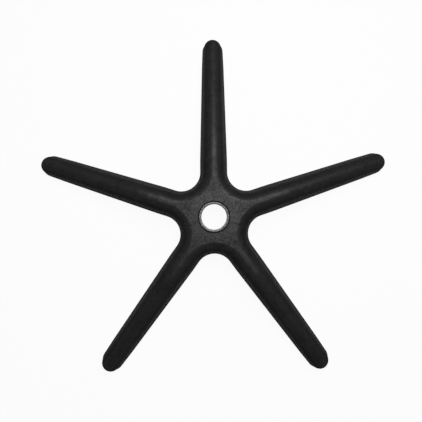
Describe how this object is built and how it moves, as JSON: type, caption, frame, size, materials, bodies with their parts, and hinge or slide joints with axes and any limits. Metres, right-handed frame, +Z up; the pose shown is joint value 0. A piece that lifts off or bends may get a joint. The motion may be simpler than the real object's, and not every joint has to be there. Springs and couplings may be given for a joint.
{
  "type": "office chair five star base",
  "caption": "Black moulded star base of an office chair: rounded arms slope from a flat hub to a caster socket under each tip, with a steel sleeve in the hub for the gas column.",
  "frame": {"origin": "on the hub axis, at the lower end of the column bore and level with the undersides of the arm tips", "axes": "+Z up along the column bore, +Y along one arm, the other arms 72 degrees apart"},
  "size_m": [0.6548, 0.6247, 0.08],
  "materials": {
    "black_nylon": "fine moulded grain",
    "sleeve_steel": "turned"
  },
  "bodies": {
    "root": {"star_base": "black_nylon", "hub_sleeve": "sleeve_steel"}
  },
  "joints": []
}
